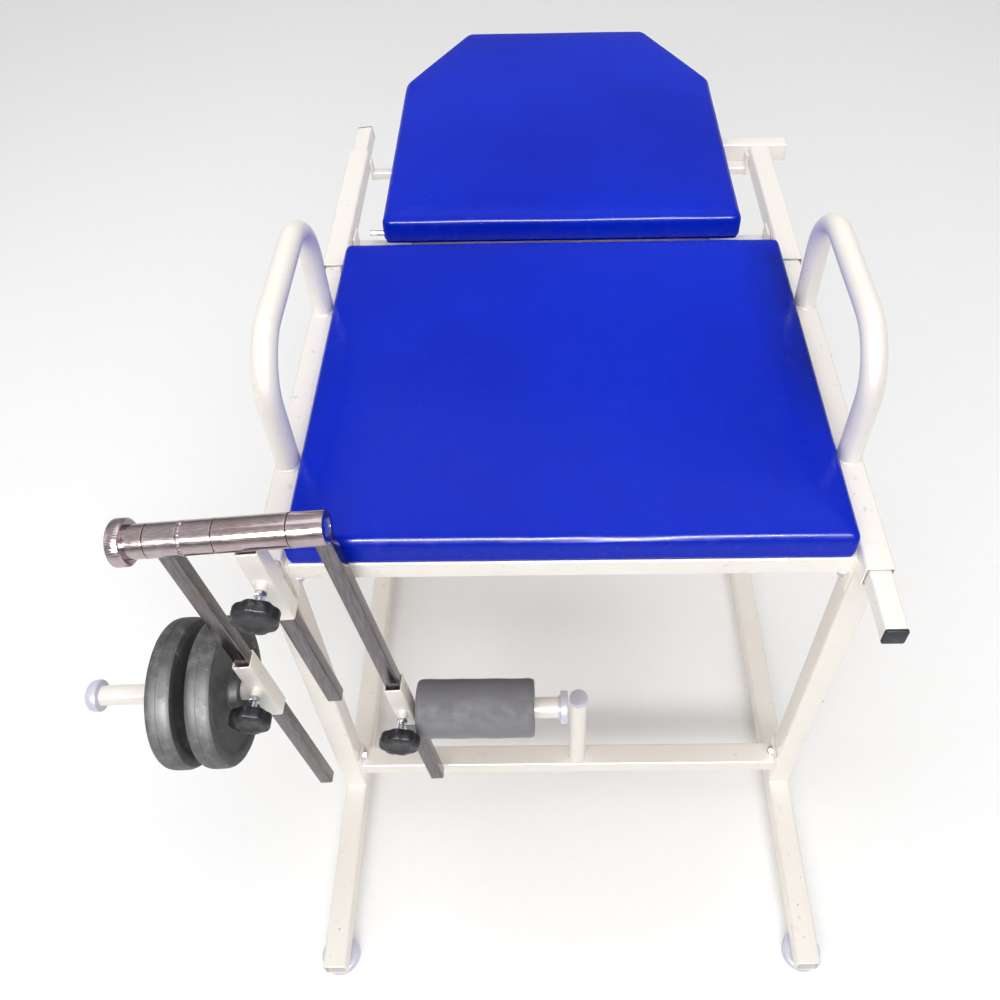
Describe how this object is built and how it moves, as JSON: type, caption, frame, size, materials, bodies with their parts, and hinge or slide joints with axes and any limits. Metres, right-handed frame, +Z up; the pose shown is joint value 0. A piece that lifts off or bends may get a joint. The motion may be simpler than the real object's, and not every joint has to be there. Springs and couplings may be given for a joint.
{
  "type": "knee extension exercise table",
  "caption": "Padded exercise bench on a square-tube frame with side handles, a tilting back panel and a counterweighted knee-extension arm at one front corner.",
  "frame": {"origin": "middle of the bounding box on the floor", "axes": "+X to the seated user's left, across the bench from the knee unit's side; +Y from the front towards the backrest; +Z up"},
  "size_m": [1.175, 1.659, 0.9995],
  "materials": {
    "cream_paint": "semi-gloss cream powder coat with small chips",
    "blue_vinyl": "smooth upholstery vinyl, slightly creased, satin",
    "plywood": "raw plywood",
    "bright_chrome": "worn bright chrome",
    "worn_steel": "dull plated steel with brown stains",
    "zinc": "zinc plated",
    "black_plastic": "moulded black plastic",
    "white_plastic": "milky white moulded plastic",
    "disc_rubber": "dark grey rubber coating, dusty",
    "grey_foam": "closed-cell foam sleeve"
  },
  "bodies": {
    "frame": {"left_floor_rail": "cream_paint", "left_front_floor_pad": "white_plastic", "left_rear_floor_pad": "white_plastic", "left_front_upright": "cream_paint", "left_rear_upright": "cream_paint", "left_seat_rail": "cream_paint", "left_handle": "cream_paint", "right_floor_rail": "cream_paint", "right_front_floor_pad": "white_plastic", "right_rear_floor_pad": "white_plastic", "right_front_upright": "cream_paint", "right_rear_upright": "cream_paint", "right_seat_rail": "cream_paint", "right_handle": "cream_paint", "lower_front_crossbar": "cream_paint", "upper_front_crossbar": "cream_paint", "lower_rear_crossbar": "cream_paint", "upper_rear_crossbar": "cream_paint", "left_crossbar_bolt": "zinc", "right_crossbar_bolt": "zinc", "storage_peg": "cream_paint", "storage_peg_cap": "white_plastic", "seat_pad": "blue_vinyl", "seat_board": "plywood"},
    "left_telescope": {"left_inner_tube": "cream_paint", "left_inner_tube_cap": "black_plastic", "post_sleeve": "cream_paint"},
    "right_telescope": {"right_inner_tube": "cream_paint", "right_inner_tube_cap": "black_plastic"},
    "rear_carriage": {"left_carriage_rail": "cream_paint", "right_carriage_rail": "cream_paint", "hinge_crossbar": "cream_paint", "rear_crossbar": "cream_paint", "rear_tee_bar": "cream_paint", "hinge_rod": "zinc"},
    "backrest": {"backrest_pad": "blue_vinyl", "backrest_board": "plywood", "left_backrest_bracket": "worn_steel", "right_backrest_bracket": "worn_steel", "stay_clevis": "worn_steel"},
    "prop": {"backrest_stay": "worn_steel"},
    "post": {"post": "worn_steel", "bearing_housing": "bright_chrome"},
    "shaft": {"shaft": "zinc", "clutch_hub": "bright_chrome", "leg_arm": "worn_steel"},
    "weight_arm": {"weight_arm": "worn_steel"},
    "lock_nut": {"lock_nut": "bright_chrome"},
    "post_screw": {"post_hand_screw": "black_plastic"},
    "leg_slider": {"leg_slider": "cream_paint", "roller_spindle": "cream_paint", "roller_cap": "white_plastic"},
    "foam_roller": {"foam_roller": "grey_foam"},
    "leg_screw": {"leg_hand_screw": "black_plastic"},
    "weight_slider": {"weight_slider": "cream_paint", "weight_peg": "cream_paint", "weight_peg_cap": "white_plastic"},
    "weight_screw": {"weight_hand_screw": "black_plastic"},
    "inner_disc": {"inner_weight_disc": "disc_rubber"},
    "outer_disc": {"outer_weight_disc": "disc_rubber"}
  },
  "joints": [
    {"name": "left_telescope_slide", "type": "slide", "parent": "frame", "child": "left_telescope", "axis": [0, -1, 0], "range_m": [0, 0.2]},
    {"name": "right_telescope_slide", "type": "slide", "parent": "frame", "child": "right_telescope", "axis": [0, -1, 0], "range_m": [0, 0.2]},
    {"name": "carriage_slide", "type": "slide", "parent": "frame", "child": "rear_carriage", "axis": [0, 1, 0], "range_m": [-0.016, 0.15]},
    {"name": "backrest_tilt", "type": "hinge", "parent": "rear_carriage", "child": "backrest", "pos_m": [0.14147, 0.1925, 0.77], "axis": [1, 0, 0], "range_deg": [0, 65]},
    {"name": "prop_fold", "type": "hinge", "parent": "backrest", "child": "prop", "pos_m": [0.14147, 0.3775, 0.777], "axis": [1, 0, 0], "range_deg": [0, 85]},
    {"name": "post_height", "type": "slide", "parent": "left_telescope", "child": "post", "axis": [-0.1011, 0, 0.9949], "range_m": [0, 0.19]},
    {"name": "shaft_turn", "type": "hinge", "parent": "post", "child": "shaft", "pos_m": [-0.25825, -0.5495, 0.87496], "axis": [-0.9949, 0, -0.1011], "range_deg": [0, 110]},
    {"name": "weight_arm_index", "type": "hinge", "parent": "shaft", "child": "weight_arm", "pos_m": [-0.25825, -0.5495, 0.87496], "axis": [-0.9949, 0, -0.1011], "range_deg": [-110, 110]},
    {"name": "lock_nut_turn", "type": "hinge", "parent": "shaft", "child": "lock_nut", "pos_m": [-0.38758, -0.5495, 0.86182], "axis": [0.9949, 0, 0.1011], "continuous": true},
    {"name": "post_screw_turn", "type": "hinge", "parent": "left_telescope", "child": "post_screw", "pos_m": [-0.24716, -0.5795, 0.78562], "axis": [0, 1, 0], "continuous": true},
    {"name": "leg_slide", "type": "slide", "parent": "shaft", "child": "leg_slider", "axis": [-0.1011, 0, 0.9949], "range_m": [-0.2, 0.25]},
    {"name": "roller_spin", "type": "hinge", "parent": "leg_slider", "child": "foam_roller", "pos_m": [-0.09812, -0.5515, 0.41478], "axis": [1, 0, 0.0035], "continuous": true},
    {"name": "leg_screw_turn", "type": "hinge", "parent": "leg_slider", "child": "leg_screw", "pos_m": [-0.11377, -0.5795, 0.43229], "axis": [0, 1, 0], "continuous": true},
    {"name": "weight_slide", "type": "slide", "parent": "weight_arm", "child": "weight_slider", "axis": [-0.1011, 0, 0.9949], "range_m": [-0.25, 0.2]},
    {"name": "weight_screw_turn", "type": "hinge", "parent": "weight_slider", "child": "weight_screw", "pos_m": [-0.31967, -0.5795, 0.50988], "axis": [0, 1, 0], "continuous": true},
    {"name": "outer_disc_slide", "type": "slide", "parent": "weight_slider", "child": "outer_disc", "axis": [-0.998, 0, -0.0628], "range_m": [0, 0.1]},
    {"name": "inner_disc_slide", "type": "slide", "parent": "weight_slider", "child": "inner_disc", "axis": [-0.998, 0, -0.0628], "range_m": [0, 0.1]}
  ],
  "couplings": [
    {"joint": "inner_disc_slide", "follows": "outer_disc_slide", "ratio": 1}
  ]
}
